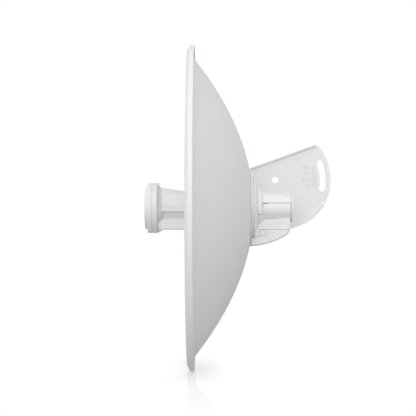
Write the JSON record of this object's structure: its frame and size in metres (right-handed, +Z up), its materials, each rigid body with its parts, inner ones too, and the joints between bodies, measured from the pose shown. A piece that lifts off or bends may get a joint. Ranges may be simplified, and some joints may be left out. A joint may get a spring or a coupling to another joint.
{
  "type": "parabolic dish antenna",
  "caption": "White parabolic dish antenna with a central feed head, a rear radio housing with a cable cover, and a folded bracket with an elevation slot and scale.",
  "frame": {"origin": "on the bracket ear's outer face, midway between the pivot hole and the elevation slot", "axes": "-X out of the ear's outer face, -Y along the boresight towards the front, +Z up"},
  "size_m": [0.42, 0.2473, 0.42],
  "materials": {
    "dish_paint": "satin white powder coat",
    "bracket_paint": "fine satin white powder coat",
    "white_plastic": "fine satin moulding",
    "grey_rubber": "matt",
    "dark_plastic": "matt",
    "zinc_steel": "zinc plated"
  },
  "bodies": {
    "root": {"dish_reflector_near": "dish_paint", "dish_reflector_top": "dish_paint", "dish_reflector_far": "dish_paint", "dish_reflector_bottom": "dish_paint", "dish_screw_1": "zinc_steel", "dish_screw_2": "zinc_steel", "dish_screw_3": "zinc_steel", "dish_screw_4": "zinc_steel", "feed_front_cap": "white_plastic", "feed_head_front_ring": "white_plastic", "feed_head_seal": "grey_rubber", "feed_head_rear_ring": "white_plastic", "feed_cone": "white_plastic", "feed_neck_upper_shell": "white_plastic", "feed_neck_lower_shell": "white_plastic", "feed_neck_core": "white_plastic", "neck_collar": "white_plastic", "elevation_bracket": "bracket_paint", "rear_housing": "white_plastic", "release_tab_near": "white_plastic", "release_tab_far": "white_plastic", "barrel_end_cap": "white_plastic", "port_cover": "white_plastic", "port_cover_latch_near": "white_plastic", "port_cover_latch_far": "white_plastic", "cable_grommet": "grey_rubber", "network_socket": "dark_plastic"}
  },
  "joints": []
}
